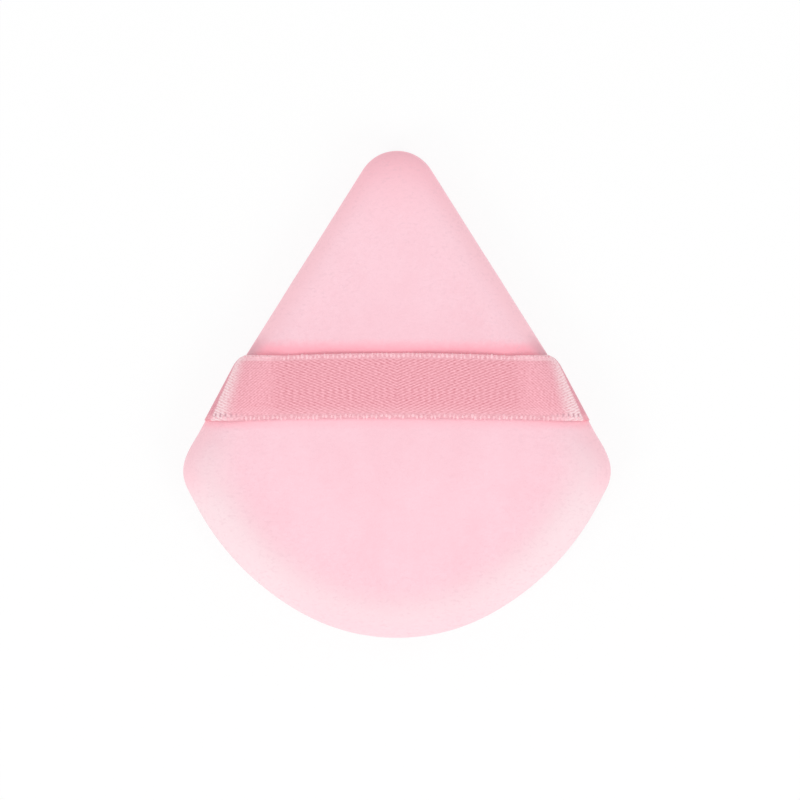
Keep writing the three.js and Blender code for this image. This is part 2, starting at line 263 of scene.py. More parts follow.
back_points = panel_net(BACK_RISE, CROWN, 1)
front_points = panel_net(FRONT_RISE, 0, -1)
inner = np.flatnonzero(net_ring < RINGS)
front_ids = np.empty(len(net_ring), int)
front_ids[border] = border
front_ids[inner] = len(net_ring) + np.arange(len(inner))
both_points = np.concatenate([back_points, front_points[inner]])
both_faces = np.concatenate([net_faces, front_ids[net_faces][:, ::-1]])
both_shift = stuffed(both_points, both_faces, border)
back_points += eased(both_shift[: len(net_ring)])
front_points += eased(both_shift[front_ids])
front_points[:, 2] = np.maximum(front_points[:, 2], front_low.z)

# Foam is never quite even, so the back rises and falls by a hair.
UNEVENNESS = 0.12 * MM
UNEVEN_SPACING = 13 * MM
for number, point in enumerate(back_points):
    wander = noise.noise(Vector(point) / UNEVEN_SPACING)
    back_points[number, 2] += UNEVENNESS * wander * min(1, (RINGS - net_ring[number]) / ROLL_RINGS)

RIBBON_WIDTH = 10.6 * MM
RIBBON_MIDDLE = 1.36 * MM
RIBBON_TOP = RIBBON_MIDDLE + RIBBON_WIDTH / 2
RIBBON_FOOT = RIBBON_TOP - RIBBON_WIDTH
RIBBON_BOW = 0.4 * MM
RIBBON_PARTING = 0.19 * MM
PARTING_RUN = 1.8 * MM


def seam_parting(plan, inset):
    """Half the gap between the two turnings, which open a little where the ribbon's ends lie between them."""
    dropped = RIBBON_BOW + (inset - CREASE) * math.sin(2 * SIDE_ANGLE) / SIDE_NORMAL[0]
    above = plan[:, 1] - RIBBON_TOP
    below = RIBBON_FOOT - dropped - plan[:, 1]
    near = 1 - np.clip(np.maximum(above, below) / PARTING_RUN, 0, 1)
    return SEAM_PARTING + RIBBON_PARTING * near


SHARP_ANGLE = math.radians(50)


def settle(piece):
    """Makes what a piece's modifiers show its own plain mesh."""
    graph = bpy.context.evaluated_depsgraph_get()
    made = bpy.data.meshes.new_from_object(piece.evaluated_get(graph))
    piece.modifiers.clear()
    piece.data = made
    made.shade_smooth()
    made.set_sharp_from_angle(angle=SHARP_ANGLE)
    return piece


def new_piece(name, points, faces, edges=()):
    """An object at the origin, with its place in its mesh."""
    mesh = bpy.data.meshes.new(name)
    mesh.from_pydata(np.asarray(points).tolist(), list(edges), [list(map(int, face)) for face in faces])
    piece = bpy.data.objects.new(name, mesh)
    bpy.context.scene.collection.objects.link(piece)
    return piece


def mark(piece, name, values):
    """Gives each point of a piece a number under a name."""
    piece.data.attributes.new(name, "FLOAT", "POINT").data.foreach_set("value", np.asarray(values).ravel())


def seam_ring(inset, outward):
    """Points of a panel's edge all round the puff, where it lies in the seam at an inset from the rim."""
    plan = drawn_in(np.arange(len(border)) / len(border), np.full(len(border), inset))
    return np.column_stack([plan, SEAM_Z + outward * seam_parting(plan, inset)])


def velour_panel(name, points, outward):
    """A panel with its turning, given the velour's thickness on the inside."""
    points[border] = seam_ring(CREASE, outward)
    rings = [border]
    sheet = [points]
    for inset in TURNING:
        rings.append(sum(map(len, sheet)) + np.arange(len(border)))
        sheet.append(seam_ring(inset, outward))
    faces = [net_faces]
    for inside, outside in zip(rings, rings[1:]):
        faces.append(np.stack([inside, outside, np.roll(outside, -1), np.roll(inside, -1)], axis=-1))
    faces = np.concatenate(faces)
    panel = new_piece(name, np.concatenate(sheet), faces if outward > 0 else faces[:, ::-1])
    insets = panel_section(0, 0)[0][net_ring]
    mark(panel, "inset", np.concatenate([insets, np.zeros(len(border) * len(TURNING))]))
    smooth = panel.modifiers.new("smooth", "SUBSURF")
    smooth.levels = 1
    smooth.render_levels = 1
    wall = panel.modifiers.new("velour", "SOLIDIFY")
    wall.thickness = VELOUR_THICKNESS
    wall.offset = -1
    return settle(panel)


class Graph:
    """A node tree under construction."""

    def __init__(self, tree):
        self.tree = tree

    def node(self, kind, settings=None, inputs=None, output=0):
        """Adds a node, sets its settings and then its sockets, and gives back one of its outputs."""
        made = self.tree.nodes.new(kind)
        for name, value in (settings or {}).items():
            setattr(made, name, value)
        for key, value in (inputs or {}).items():
            self.connect(made.inputs[key], value)
        return Wire(self, made.outputs[output])

    def connect(self, socket, value):
        if isinstance(value, Wire):
            self.tree.links.new(value.socket, socket)
        else:
            socket.default_value = value


class Wire:
    """One output in a node tree. Arithmetic on it adds Math nodes."""

    def __init__(self, graph, socket):
        self.graph = graph
        self.socket = socket

    def math(self, operation, *values):
        return self.graph.node("ShaderNodeMath", {"operation": operation}, dict(enumerate(values)))

    def __add__(self, other):
        return self.math("ADD", self, other)

    def __radd__(self, other):
        return self.math("ADD", other, self)

    def __sub__(self, other):
        return self.math("SUBTRACT", self, other)

    def __rsub__(self, other):
        return self.math("SUBTRACT", other, self)

    def __mul__(self, other):
        return self.math("MULTIPLY", self, other)

    def __rmul__(self, other):
        return self.math("MULTIPLY", other, self)

    def __truediv__(self, other):
        return self.math("DIVIDE", self, other)

    def sine(self):
        return self.math("SINE", self)

    def floor(self):
        return self.math("FLOOR", self)

    def size(self):
        return self.math("ABSOLUTE", self)

    def band(self, low, high):
        """0 below low, 1 above high and a smooth step between."""
        inputs = {"Value": self, "From Min": low, "From Max": high}
        return self.graph.node("ShaderNodeMapRange", {"interpolation_type": "SMOOTHSTEP"}, inputs)


class Finish(Graph):
    """A material with one main shader. The constants go straight onto that shader's sockets."""

    def __init__(self, name, **constants):
        self.material = bpy.data.materials.new(name)
        self.material.use_nodes = True
        super().__init__(self.material.node_tree)
        self.shader = self.tree.nodes["Principled BSDF"]
        for socket, value in constants.items():
            self.shader.inputs[socket.replace("_", " ")].default_value = value

    def drive(self, socket, value):
        self.connect(self.shader.inputs[socket], value)

    def place(self):
        return self.node("ShaderNodeTexCoord", output="Object")

    def parts(self, vector):
        """The X, Y and Z of a vector."""
        first = self.node("ShaderNodeSeparateXYZ", None, {0: vector})
        return [Wire(self, part) for part in first.socket.node.outputs]

    def stretched(self, place, scale):
        return self.node("ShaderNodeMapping", None, {"Vector": place, "Scale": scale})

    def speckle(self, place, size, detail=2.0):
        """Cloudy noise whose clouds are about this size."""
        return self.node("ShaderNodeTexNoise", None, {"Vector": place, "Scale": 1 / size, "Detail": detail})

    def between(self, share, first, second):
        """A colour between two others."""
        return self.node("ShaderNodeMix", {"data_type": "RGBA"}, {0: share, 6: first, 7: second}, 2)

    def bump(self, height, distance, strength):
        inputs = {"Height": height, "Distance": distance, "Strength": strength}
        return self.node("ShaderNodeBump", None, inputs)


VELOUR_DEEP = (0.905, 0.545, 0.615, 1.0)
VELOUR_PALE = (0.955, 0.63, 0.705, 1.0)
VELOUR_PAINTED_LIGHTER = (1.0, 0.662, 0.733, 1.0)
VELOUR_RIM_SHADE = (0.97, 0.59, 0.655, 1.0)
VELOUR_TIP_SHADE = (0.985, 0.515, 0.592, 1.0)
VELOUR_FLECK = (0.72, 0.44, 0.51, 1.0)
VELOUR_NOOK_SHADE = (0.745, 0.40, 0.46, 1.0)
VELOUR_END_LIGHT = (0.89, 0.645, 0.69, 1.0)
VELOUR_RIM_LIGHT = (0.90, 0.70, 0.735, 1.0)
VELOUR_RIBBON_SHADOW = (1.0, 0.425, 0.505, 1.0)
STROKE_SIZE = 9 * MM
CLOUD_SIZE = 2.4 * MM
TUFT_SIZE = 0.9 * MM
FLECK_SIZE = 0.55 * MM
PILE_SIZE = 0.26 * MM
PILE_DEPTH = 0.16 * MM
RAGGEDNESS = 0.9 * MM
# Where each change in the pile, and each painted light and shade, begins and ends: IN from the rim, ALONG
# towards the tip, OUT to the sides, UP over the seam.
CLOSED_IN = (5 * MM, 14 * MM)
TIP_PALER_ALONG = (10 * MM, 24 * MM)
LIT_SIDES_IN = (3.5 * MM, 7.5 * MM)
LIT_SIDES_ALONG = (5 * MM, 15 * MM)
RIM_SHADE_IN = (0.5 * MM, 3.4 * MM)
TIP_IN = (0.0, 4 * MM)
TIP_ALONG = (25 * MM, 42 * MM)
END_LIGHT_IN = (3 * MM, 8.5 * MM)
END_LIGHT_ALONG = (-13 * MM, -3 * MM)
RIM_LIGHT_IN = (1.8 * MM, 6 * MM)
RIM_LIGHT_ALONG = (-19 * MM, -13 * MM)
RIM_LIGHT_OUT = (8 * MM, 26 * MM)
BACK_UP = (0.5 * MM, 1.8 * MM)
RIBBON_SHADOW_ENDS_ALONG = (RIBBON_TOP + 0.2 * MM, RIBBON_TOP + 2.6 * MM)
RIBBON_SHADOW_STARTS_ALONG = (RIBBON_FOOT - 0.6 * MM, RIBBON_FOOT + 0.5 * MM)
RIBBON_SHADOW_DEEPENS_ALONG = (RIBBON_TOP - 5 * MM, RIBBON_TOP - 1 * MM)
LOWER_SHADOW_LINE = RIBBON_FOOT - RIBBON_BOW
LOWER_SHADOW_FADE = (0.5 * MM, 1.8 * MM)
LOWER_SHADOW_OUT = (18 * MM, 27 * MM)
NOOK_IN = (0.3 * MM, 2.4 * MM)
NOOK_STARTS_ALONG = (RIBBON_TOP - 2 * MM, RIBBON_TOP)
NOOK_ENDS_ALONG = (RIBBON_TOP, RIBBON_TOP + 4 * MM)


def velour_finish():
    """Brushed velour: a matt pile with a pale bloom at a slant, speckled, and cloudy where it was stroked."""
    velour = Finish(
        "pink_velour",
        Sheen_Weight=0.3,
        Sheen_Roughness=0.45,
        Sheen_Tint=(1.0, 0.94, 0.94, 1.0),
        Specular_IOR_Level=0.1,
    )
    place = velour.place()
    width, length, height = velour.parts(place)
    inset = velour.node("ShaderNodeAttribute", {"attribute_name": "inset"}, output="Fac")
    stroked = velour.speckle(velour.stretched(place, (1.0, 0.7, 1.0)), STROKE_SIZE, 3.0)
    clouds = velour.speckle(place, CLOUD_SIZE)
    tufts = velour.speckle(place, TUFT_SIZE, 3.0)
    pile = velour.speckle(place, PILE_SIZE)
    # The face is brushed smooth. Towards the rim the pile stands more open and looks coarser.
    opened = 1 - inset.band(*CLOSED_IN)
    coarse = 0.32 * stroked.band(0.3, 0.7) + 0.18 * clouds.band(0.25, 0.75)
    fine = 0.25 * tufts.band(0.25, 0.75) + 0.25 * pile.band(0.25, 0.75) - 0.25
    brushed = velour.between(0.25 + coarse + (0.45 + 0.75 * opened) * fine, VELOUR_DEEP, VELOUR_PALE)
    # Above the ribbon the colour is paler towards the tip, and along the upper sides it is painted lighter:
    # painted light that takes off the shade of the rolled edge.
    towards_tip = 0.2 * length.band(*TIP_PALER_ALONG)
    lit_sides = 0.32 * (1 - inset.band(*LIT_SIDES_IN)) * length.band(*LIT_SIDES_ALONG)
    smooth = velour.between(towards_tip + lit_sides, brushed, VELOUR_PAINTED_LIGHTER)
    # Painted shade: the rim is painted darker, and darker still towards the tip, on the side away from the
    # light.
    # Painted light: the round end faces the light, and it is painted paler well in from the rim and palest on
    # the rim itself, most on the flanks.
    rim = 1 - inset.band(*RIM_SHADE_IN)
    end_light = (1 - inset.band(*END_LIGHT_IN)) * (1 - length.band(*END_LIGHT_ALONG))
    flanks = 0.35 + 0.65 * width.size().band(*RIM_LIGHT_OUT)
    rim_light = (1 - inset.band(*RIM_LIGHT_IN)) * (1 - length.band(*RIM_LIGHT_ALONG)) * flanks
    patchy = 0.9 + 0.4 * (tufts - 0.5)
    tip = length.band(*TIP_ALONG)
    pulled = velour.between(rim * patchy, smooth, VELOUR_RIM_SHADE)
    tip_shaded = velour.between(tip * patchy * (1 - 0.2 * inset.band(*TIP_IN)), pulled, VELOUR_TIP_SHADE)
    with_end_light = velour.between(end_light * patchy * (1 - 0.6 * rim), tip_shaded, VELOUR_END_LIGHT)
    with_rim_light = velour.between(rim_light * patchy, with_end_light, VELOUR_RIM_LIGHT)
    # Painted shadow: the pile under the ribbon is painted deeper, most along its upper edge, where the ribbon
    # casts its shadow, and a fainter painted shade line runs below its lower edge, strongest near the ends.
    ragged = length + (tufts - 0.5) * RAGGEDNESS
    above = 1 - ragged.band(*RIBBON_SHADOW_ENDS_ALONG)
    below = ragged.band(*RIBBON_SHADOW_STARTS_ALONG)
    upper = ragged.band(*RIBBON_SHADOW_DEEPENS_ALONG)
    on_back = (height - SEAM_Z).band(*BACK_UP)
    at_ends = width.size().band(*LOWER_SHADOW_OUT)
    lower = 1 - (ragged - LOWER_SHADOW_LINE).size().band(*LOWER_SHADOW_FADE)
    ribbon_shadow = (above * below * (0.2 + 0.8 * upper) + (0.16 + 0.24 * at_ends) * lower) * on_back
    painted_light = velour.between(ribbon_shadow, with_rim_light, VELOUR_RIBBON_SHADOW)
    # Painted shade in the nook between the rim and the ribbon's upper edge.
    nook_shade = (1 - ragged.band(*NOOK_ENDS_ALONG)) * (1 - inset.band(*NOOK_IN))
    nook_shaded = velour.between(nook_shade * ragged.band(*NOOK_STARTS_ALONG) * on_back, painted_light, VELOUR_NOOK_SHADE)
    # Here and there a tuft has parted and shows the darker ground between.
    flecks = velour.speckle(velour.stretched(place, (0.8, 1.2, 1.0)), FLECK_SIZE, 1.0).band(0.5, 0.74)
    parted = flecks * clouds.band(0.2, 0.65) * (0.1 + 0.1 * opened)
    velour.drive("Base Color", velour.between(parted, nook_shaded, VELOUR_FLECK))
    velour.drive("Roughness", 0.86 + 0.12 * pile)
    velour.drive("Normal", velour.bump(0.55 * pile + 0.45 * tufts, PILE_DEPTH, 0.55))
    return velour.material


velour_material = velour_finish()
back_cover = velour_panel("back_cover", back_points, 1)
front_cover = velour_panel("front_cover", front_points, -1)
for panel, node in ((back_cover, "back_velour"), (front_cover, "front_velour")):
    panel.data.materials.append(velour_material)
    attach(panel, "pad")
    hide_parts(node)

# Ribbon: one strip of satin ribbon with a fine twill face and woven selvedges, laid straight over the back.
# Its ends fold round the rim into the side seams and are caught by the stitching. It is made as a left and
# a right half that meet at the middle line.
RIBBON_THICKNESS = 0.3 * MM
STRAP_GAP = 0.06 * MM
OVERHANG = 0.7 * MM
LEAST_OVERHANG = -0.2 * MM
ROUNDED_SHARE = 0.15
RIBBON_ROWS = 25
SPAN_STATIONS = 56
ROLL_STATIONS = 26
TUCK_STATIONS = 8
TAIL_STATIONS = 8
TAIL_INSET = 4.7 * MM
PLUMB_HEIGHT = 1.0
FIT_PLACES = 15
FIT_THREADS = 7

cover_tree = BVHTree.FromObject(back_cover, bpy.context.evaluated_depsgraph_get())


def cover_height(x, y):
    """Height of the back at a place in plan, by a plumb line from above."""
    hit = cover_tree.ray_cast(Vector((x, y, PLUMB_HEIGHT)), Vector((0, 0, -1)))
    return hit[0].z


def side_x(inset, y):
    """Distance of a straight side from the middle line, at a place along the length."""
    return (REACH - inset - SIDE_NORMAL[1] * (y - HUB[1])) / SIDE_NORMAL[0]


def overhang(across):
    """How far the ribbon stands out past the rim, least at its lower edge and most near its upper one."""
    most = LEAST_OVERHANG + (OVERHANG - LEAST_OVERHANG) * min(1, across / (1 - ROUNDED_SHARE))
    past = max(0, (across - 1 + ROUNDED_SHARE) / ROUNDED_SHARE)
    return LEAST_OVERHANG + (most - LEAST_OVERHANG) * math.sqrt(1 - past**2)


def ribbon_y(across):
    """Where a lengthwise thread lies at the rim. The ribbon bows, so its middle lies nearer the tip."""
    return RIBBON_MIDDLE + RIBBON_WIDTH * (across - 0.5) - RIBBON_BOW


def pad_fit(across):
    """Height of a thread at its shoulder and its rise from there to the middle, so that it clears the pad."""
    y = ribbon_y(across)
    shares = np.linspace(0, 1, FIT_PLACES)
    shoulder = side_x(EDGE_ROLL, y)
    pad = np.array([cover_height(shoulder * share, y + RIBBON_BOW * (1 - share**2)) for share in shares])
    arch = pad[0] - pad[-1]
    above = max(pad - pad[-1] - arch * (1 - shares**2))
    return pad[-1] + above + STRAP_GAP + RIBBON_THICKNESS / 2, arch


fit_shares = np.linspace(0, 1, FIT_THREADS)
shoulder_fit, arch_fit = np.polyfit(fit_shares, [pad_fit(across) for across in fit_shares], 2).T


def ribbon_row(across):
    """Points of one lengthwise thread of the right half, from the middle line to the cut end."""
    y = ribbon_y(across)
    shoulder = side_x(EDGE_ROLL, y)
    shoulder_z = np.polyval(shoulder_fit, across)
    arch = np.polyval(arch_fit, across)
    out = overhang(across) * SIDE_NORMAL[0]
    row = []
    for share in np.linspace(0, 1, SPAN_STATIONS + 1):
        bowed = 1 - share**2
        row.append((shoulder * share, y + RIBBON_BOW * bowed, shoulder_z + arch * bowed))
    rise = shoulder_z - SEAM_Z - CREASE
    for turn in np.linspace(RIGHT_ANGLE, 0, ROLL_STATIONS + 1)[1:]:
        inset = EDGE_ROLL - (EDGE_ROLL + out) * math.cos(turn)
        row.append((side_x(inset, y), y, SEAM_Z + CREASE + rise * math.sin(turn)))
    tuck = CREASE + out
    for turn in np.linspace(0, RIGHT_ANGLE, TUCK_STATIONS + 1)[1:]:
        inset = tuck * (1 - math.cos(turn)) - out
        row.append((side_x(inset, y), y, SEAM_Z + CREASE * (1 - math.sin(turn))))
    for inset in np.linspace(CREASE, TAIL_INSET, TAIL_STATIONS + 1)[1:]:
        folded = (inset - CREASE) / SIDE_NORMAL[0]
        x = side_x(CREASE, y) - folded * math.cos(2 * SIDE_ANGLE)
        row.append((x, y - folded * math.sin(2 * SIDE_ANGLE), SEAM_Z))
    return row


ribbon_shares = np.linspace(0, 1, RIBBON_ROWS)
ribbon_rows = np.array([ribbon_row(across) for across in ribbon_shares])


def ribbon_half(name, hand):
    """One half of the ribbon as a sheet with thickness, and a UV map in millimetres along and across it."""
    points = ribbon_rows * (hand, 1, 1)
    rows, stations = points.shape[:2]
    ids = np.arange(rows * stations).reshape(rows, stations)
    faces = np.stack([ids[:-1, :-1], ids[:-1, 1:], ids[1:, 1:], ids[1:, :-1]], axis=-1).reshape(-1, 4)
    half = new_piece(name, points.reshape(-1, 3), faces if hand > 0 else faces[:, ::-1])
    along = np.zeros((rows, stations))
    along[:, 1:] = np.cumsum(np.linalg.norm(np.diff(ribbon_rows, axis=1), axis=2), axis=1)
    past_fold = along - along[:, [SPAN_STATIONS + ROLL_STATIONS]]
    across = np.repeat(ribbon_shares[:, None] * RIBBON_WIDTH, stations, axis=1)
    corners = np.empty(len(half.data.loops), np.int32)
    half.data.loops.foreach_get("vertex_index", corners)
    for layer, lengthwise in (("weave", along * hand), ("fold", past_fold)):
        flat = np.stack([lengthwise, across], axis=-1).reshape(-1, 2) / MM
        half.data.uv_layers.new(name=layer).data.foreach_set("uv", flat[corners].ravel())
    wall = half.modifiers.new("thickness", "SOLIDIFY")
    wall.thickness = RIBBON_THICKNESS
    wall.offset = 0
    return settle(half)


# On the ribbon's UV maps lengths are in millimetres: ALONG it from the middle, ACROSS it from the lower edge,
# and PAST the fold at the rim.
TWILL_PITCH = 0.47
TWILL_SLOPE = 0.42
TWILL_DEPTH = 0.05 * MM
FLIPPED_SLOPE = 0.8
FLIPPED_ALONG = (18.5, 22.0)
YARN = 0.235
WANDER_SIZE = 1.4
GRAIN_SIZE = 0.32
SELVEDGE_FULL = 0.8
SELVEDGE_WIDTH = 1.0
PALER_TO_ENDS_PAST = (-9.0, -5.0)
FADED_ACROSS = (0.9, 2.6)
HIGHLIGHT_SLOPE = 0.31
HIGHLIGHT_BEFORE = 5.1
HIGHLIGHT_PAST = (-1.7, 1.2)
RIB_SLOPE = 0.35
RIBS_SINK_ACROSS = (5.0, 10.0)
HOLE_PITCH = 0.92
HOLE_SHARE = (0.06, 0.3)
HOLE_LEVEL = 0.85
HOLE_HEIGHT = (0.12, 0.42)
HOLES_PAST = (-10.0, -4.0)
SHADE_SLOPE = 0.17
SHADE_BEFORE = 2.5
SHADE_PAST = (-0.3, 0.3)
SHADE_CORNER_ACROSS = (0.0, 1.4)
SATIN_DEEP = (0.66, 0.205, 0.25, 1.0)
SATIN_PALE = (0.96, 0.485, 0.56, 1.0)
SELVEDGE_DEEP = (0.72, 0.29, 0.345, 1.0)
SELVEDGE_PALE = (0.96, 0.55, 0.61, 1.0)
SELVEDGE_HOLE = (0.54, 0.25, 0.31, 1.0)
FOLD_HIGHLIGHT = (1.0, 0.785, 0.81, 1.0)
FOLD_ROSE = (0.80, 0.395, 0.45, 1.0)
SHADE_DEEP = (0.58, 0.18, 0.24, 1.0)
SHADE_PALE = (0.85, 0.365, 0.435, 1.0)
SHADE_CORNER = (0.87, 0.345, 0.405, 1.0)


def satin_finish():
    """Satin ribbon: twill lines that meet in a V at the middle, paler selvedges, a painted highlight on the
    fold and painted shade past it.
    """
    satin = Finish("rose_satin", Sheen_Weight=0.1, Sheen_Roughness=0.4, Specular_IOR_Level=0.45)
    flat = satin.node("ShaderNodeUVMap", {"uv_map": "weave"})
    along, across, _ = satin.parts(flat)
    past_fold = satin.parts(satin.node("ShaderNodeUVMap", {"uv_map": "fold"}))[0]
    wander = satin.speckle(flat, WANDER_SIZE) - 0.5
    grain = satin.speckle(satin.stretched(flat, (0.7, 1.6, 1.0)), GRAIN_SIZE) - 0.5
    # Each warp yarn floats over a few wefts at a time, and each starts a step further along than the last.
    yarn = across / YARN
    number = yarn.floor()
    crest = (yarn - number - 0.5).size()
    stray = satin.node("ShaderNodeTexWhiteNoise", {"noise_dimensions": "1D"}, {"W": number}) - 0.5
    stepped = 0.5 * across + (0.5 * YARN) * (number + 0.5)
    shift = 0.18 * wander + 0.16 * stray
    from_middle = along.size()
    inner = ((stepped - TWILL_SLOPE * from_middle) / TWILL_PITCH + shift) * math.tau
    outer = ((stepped + FLIPPED_SLOPE * from_middle) / TWILL_PITCH + shift) * math.tau
    flipped = (from_middle + 1.5 * wander).band(*FLIPPED_ALONG)
    twill = inner.sine() * (1 - flipped) + 0.7 * outer.sine() * flipped
    lines = 0.575 + 0.3 * twill - 0.22 * crest + 1.4 * grain + 0.14 * flipped
    plain = satin.between(lines, SATIN_DEEP, SATIN_PALE)
    # The selvedges are paler, most near the ends, and the face beside the lower one is a little faded.
    half_width = RIBBON_WIDTH / MM / 2
    edge = (across - half_width).size().band(half_width - SELVEDGE_WIDTH, half_width - SELVEDGE_FULL)
    paler_to_ends = 0.55 * past_fold.band(*PALER_TO_ENDS_PAST)
    selvedge = satin.between(0.43 + 1.6 * grain + paler_to_ends, SELVEDGE_DEEP, SELVEDGE_PALE)
    body = satin.between(0.22 - 0.22 * across.band(*FADED_ACROSS), plain, SELVEDGE_PALE)
    woven = satin.between(edge, body, selvedge)
    # Where the ribbon turns down over the rim a highlight is painted on, widest at its lower edge, and its
    # ribs stand out.
    painted_light = (past_fold - HIGHLIGHT_SLOPE * across + HIGHLIGHT_BEFORE + wander).band(*HIGHLIGHT_PAST)
    ribs = ((across - RIB_SLOPE * from_middle) / TWILL_PITCH + 0.5 * wander) * math.tau
    standing = 0.34 - 0.2 * across.band(*RIBS_SINK_ACROSS)
    fold = satin.between(0.7 + standing * ribs.sine() + 2.2 * grain, FOLD_ROSE, FOLD_HIGHLIGHT)
    turned = satin.between(0.85 * painted_light, woven, fold)
    # Near the ends the weft's turns stand apart, with small gaps between them along the lower edge.
    turn = along / HOLE_PITCH + 0.4 * wander
    beside = (turn - turn.floor() - 0.5).size().band(*HOLE_SHARE)
    level = (across - HOLE_LEVEL - 0.6 * grain).size().band(*HOLE_HEIGHT)
    holes = (1 - beside) * (1 - level) * past_fold.band(*HOLES_PAST)
    pierced = satin.between(0.8 * holes, turned, SELVEDGE_HOLE)
    # Painted shade: past the fold the ribbon turns under into the seam and is painted darker, redder at its
    # lower edge.
    under = (past_fold - SHADE_SLOPE * across + SHADE_BEFORE + 0.5 * wander).band(*SHADE_PAST)
    shade = satin.between(lines, SHADE_DEEP, SHADE_PALE)
    edged = satin.between(0.4 * edge, shade, selvedge)
    shaded = satin.between(0.75 - 0.75 * across.band(*SHADE_CORNER_ACROSS), edged, SHADE_CORNER)
    satin.drive("Base Color", satin.between(under, pierced, shaded))
    satin.drive("Roughness", 0.5 - 0.08 * twill + 0.1 * edge)
    satin.drive("Normal", satin.bump(lines, TWILL_DEPTH, 0.5))
    return satin.material


LIFT_STARTS = 1 * MM
LIFT_FULL = 21 * MM


def follow_strap(piece, hand):
    """Works out where one half's strap would stay still at the rim and where it would be lifted in full, well
    in
    from it, but bends nothing: it only bakes the piece's place into its mesh.
    """
    outside = HUB + SIDE_NORMAL * (REACH - LIFT_STARTS)
    inside = HUB + SIDE_NORMAL * (REACH - LIFT_FULL)
    start = (hand * outside[0], outside[1], SEAM_Z)
    end = (hand * inside[0], inside[1], SEAM_Z)
    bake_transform(piece)


HANDS = {"left": -1, "right": 1}
satin_material = satin_finish()
for side, hand in HANDS.items():
    half = ribbon_half("ribbon_" + side, hand)
    half.data.materials.append(satin_material)
    follow_strap(half, hand)
    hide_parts("ribbon_strap", "ribbon_tail_" + side)

# Selvedges: along both edges the weft turns back round the outermost warp in small raised loops, paler than
# the face and never quite even.
WEFT_PITCH = 0.72 * MM
WEFT_WIDTH = 0.62 * MM
WEFT_LENGTH = 0.92 * MM
WEFT_HEIGHT = 0.46 * MM
WEFT_UNEVENNESS = 0.22
TURN_SEGMENTS = 8
TURN_RINGS = 6


class Making(Graph):
    """A Geometry Nodes tree with named sizes, which makes a mesh of one material from lines."""

    def __init__(self, name, *sizes):
        super().__init__(bpy.data.node_groups.new(name, "GeometryNodeTree"))
        sockets = self.tree.interface
        sockets.new_socket("Geometry", in_out="OUTPUT", socket_type="NodeSocketGeometry")
        sockets.new_socket("Lines", in_out="INPUT", socket_type="NodeSocketGeometry")
        sockets.new_socket("Material", in_out="INPUT", socket_type="NodeSocketMaterial")
        for size in sizes:
            sockets.new_socket(size, in_out="INPUT", socket_type="NodeSocketFloat")
        self.given = self.tree.nodes.new("NodeGroupInput")

    def input(self, name):
        return Wire(self, self.given.outputs[name])

    def vector(self, x, y, z):
        return self.node("ShaderNodeCombineXYZ", None, {"X": x, "Y": y, "Z": z})

    def spread(self, low, high, seed):
        """A random number for each point."""
        inputs = {2: low, 3: high, "Seed": seed}
        return self.node("FunctionNodeRandomValue", {"data_type": "FLOAT"}, inputs, 1)

    def close(self, geometry):
        realized = self.node("GeometryNodeRealizeInstances", None, {"Geometry": geometry})
        finished = {"Geometry": realized, "Material": self.input("Material")}
        painted = self.node("GeometryNodeSetMaterial", None, finished)
        self.connect(self.tree.nodes.new("NodeGroupOutput").inputs["Geometry"], painted)

    def make(self, piece, **sizes):
        modifier = piece.modifiers.new(self.tree.name, "NODES")
        modifier.node_group = self.tree
        for item in self.tree.interface.items_tree:
            if item.name in sizes:
                modifier[item.identifier] = sizes[item.name]
        return settle(piece)


def weft_turns():
    """Small oval loops set square across a line, a pitch apart."""
    turns = Making("weft_turns", "Pitch", "Width", "Length", "Height", "Unevenness")
    lines = turns.node("GeometryNodeMeshToCurve", None, {"Mesh": turns.input("Lines")})
    inputs = {"Curve": lines, "Length": turns.input("Pitch")}
    points = turns.node("GeometryNodeCurveToPoints", {"mode": "LENGTH"}, inputs)
    tangent = Wire(turns, points.socket.node.outputs["Tangent"])
    settings = {"axis": "X", "pivot_axis": "Y"}
    facing = turns.node("FunctionNodeAlignRotationToVector", settings, {"Vector": tangent})
    uneven = turns.input("Unevenness")
    lean = turns.vector(0.0, 0.0, uneven * turns.spread(-1.0, 1.0, 11))
    leaning = turns.node(
        "FunctionNodeRotateRotation", {"rotation_space": "LOCAL"}, {"Rotation": facing, "Rotate By": lean}
    )
    strayed = turns.vector(
        turns.input("Pitch") * uneven * turns.spread(-1.0, 1.0, 12),
        turns.input("Length") * uneven * turns.spread(-0.5, 0.5, 13),
        0.0,
    )
    moved = turns.node("GeometryNodeSetPosition", None, {"Geometry": points, "Offset": strayed})
    inputs = {"Segments": TURN_SEGMENTS, "Rings": TURN_RINGS, "Radius": 0.5}
    loop = turns.node("GeometryNodeMeshUVSphere", None, inputs)
    full = turns.node("GeometryNodeInputNamedAttribute", {"data_type": "FLOAT"}, {"Name": "fullness"})
    size = turns.vector(
        turns.input("Width") * (1 + uneven * turns.spread(-1.0, 1.0, 14)),
        turns.input("Length") * full * (1 + uneven * turns.spread(-0.8, 0.8, 15)),
        turns.input("Height") * full * (1 + uneven * turns.spread(-0.5, 0.5, 16)),
    )
    inputs = {"Points": moved, "Instance": loop, "Rotation": leaning, "Scale": size}
    turns.close(turns.node("GeometryNodeInstanceOnPoints", None, inputs))
    return turns


WEFT_DEEP = (0.87, 0.43, 0.492, 1.0)
WEFT_PALE = (0.965, 0.575, 0.628, 1.0)
WEFT_SHADE_SIZE = 0.45 * MM
WEFT_FIBRE_SIZE = 0.12 * MM
WEFT_FIBRE_DEPTH = 0.03 * MM


